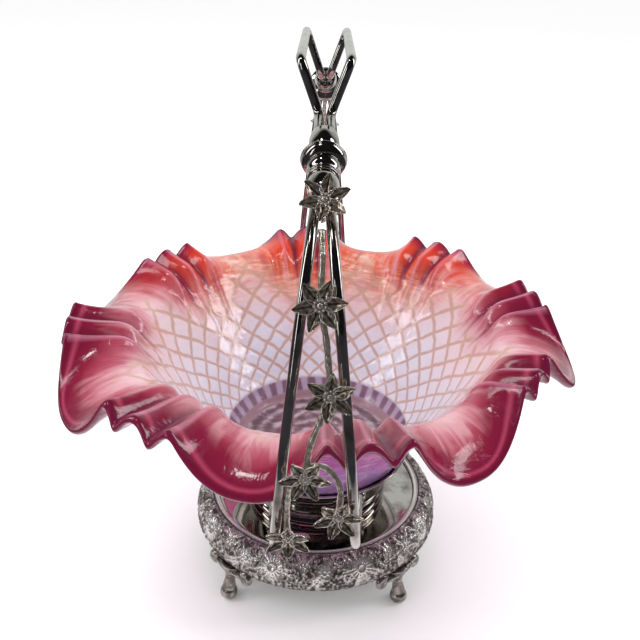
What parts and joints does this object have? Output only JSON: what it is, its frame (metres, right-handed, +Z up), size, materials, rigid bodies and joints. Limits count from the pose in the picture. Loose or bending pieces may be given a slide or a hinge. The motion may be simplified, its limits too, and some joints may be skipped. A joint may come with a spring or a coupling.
{
  "type": "brides basket",
  "caption": "Footed silver plated stand with a tall looped handle, holding a ruffled cranberry glass bowl that lifts out.",
  "frame": {"origin": "on the table under the middle of the base, midway between the four feet", "axes": "+Z up; the handle lies in the YZ plane, with its front arm at -Y and its back arm at +Y; +X to the right of someone facing +Y"},
  "size_m": [0.2754, 0.306, 0.3012],
  "materials": {
    "silver_plate": "polished silver plate, thinly tarnished",
    "embossed_plate": "embossed and cast silver plate, satin, dark in its hollows",
    "tarnished_plate": "cast flowers and vine with worn, browned plating",
    "steel": "plain steel",
    "cranberry_glass": "cased art glass, opalescent inside, cranberry at the rim, glossy"
  },
  "bodies": {
    "stand": {"base_border": "embossed_plate", "base_plate": "silver_plate", "front_right_foot": "embossed_plate", "front_left_foot": "embossed_plate", "back_right_foot": "embossed_plate", "back_left_foot": "embossed_plate", "pedestal_foot": "silver_plate", "front_left_screw": "silver_plate", "front_right_screw": "silver_plate", "back_left_screw": "silver_plate", "back_right_screw": "silver_plate", "stem_knop": "silver_plate", "bowl_dish": "silver_plate", "tie_bolt": "steel", "tie_washer": "steel", "tie_nut": "steel", "top_rail_left": "silver_plate", "top_rail_right": "silver_plate", "front_left_rod": "silver_plate", "back_left_rod": "silver_plate", "front_right_rod": "silver_plate", "back_right_rod": "silver_plate", "front_upper_bead": "silver_plate", "front_disc_bead": "silver_plate", "front_lower_bead": "silver_plate", "back_upper_bead": "silver_plate", "back_disc_bead": "silver_plate", "back_lower_bead": "silver_plate", "front_vine": "tarnished_plate", "front_flower_1": "tarnished_plate", "front_flower_2": "tarnished_plate", "front_flower_3": "tarnished_plate", "front_flower_4": "tarnished_plate", "front_flower_5": "tarnished_plate", "front_flower_6": "tarnished_plate", "back_vine": "tarnished_plate", "back_flower_1": "tarnished_plate", "back_flower_2": "tarnished_plate", "back_flower_3": "tarnished_plate", "back_flower_4": "tarnished_plate", "back_flower_5": "tarnished_plate", "back_flower_6": "tarnished_plate"},
    "bowl": {"glass_bowl": "cranberry_glass"}
  },
  "joints": [
    {"name": "bowl_lift", "type": "slide", "parent": "stand", "child": "bowl", "axis": [0, 0, 1], "range_m": [0, 0.008]}
  ]
}
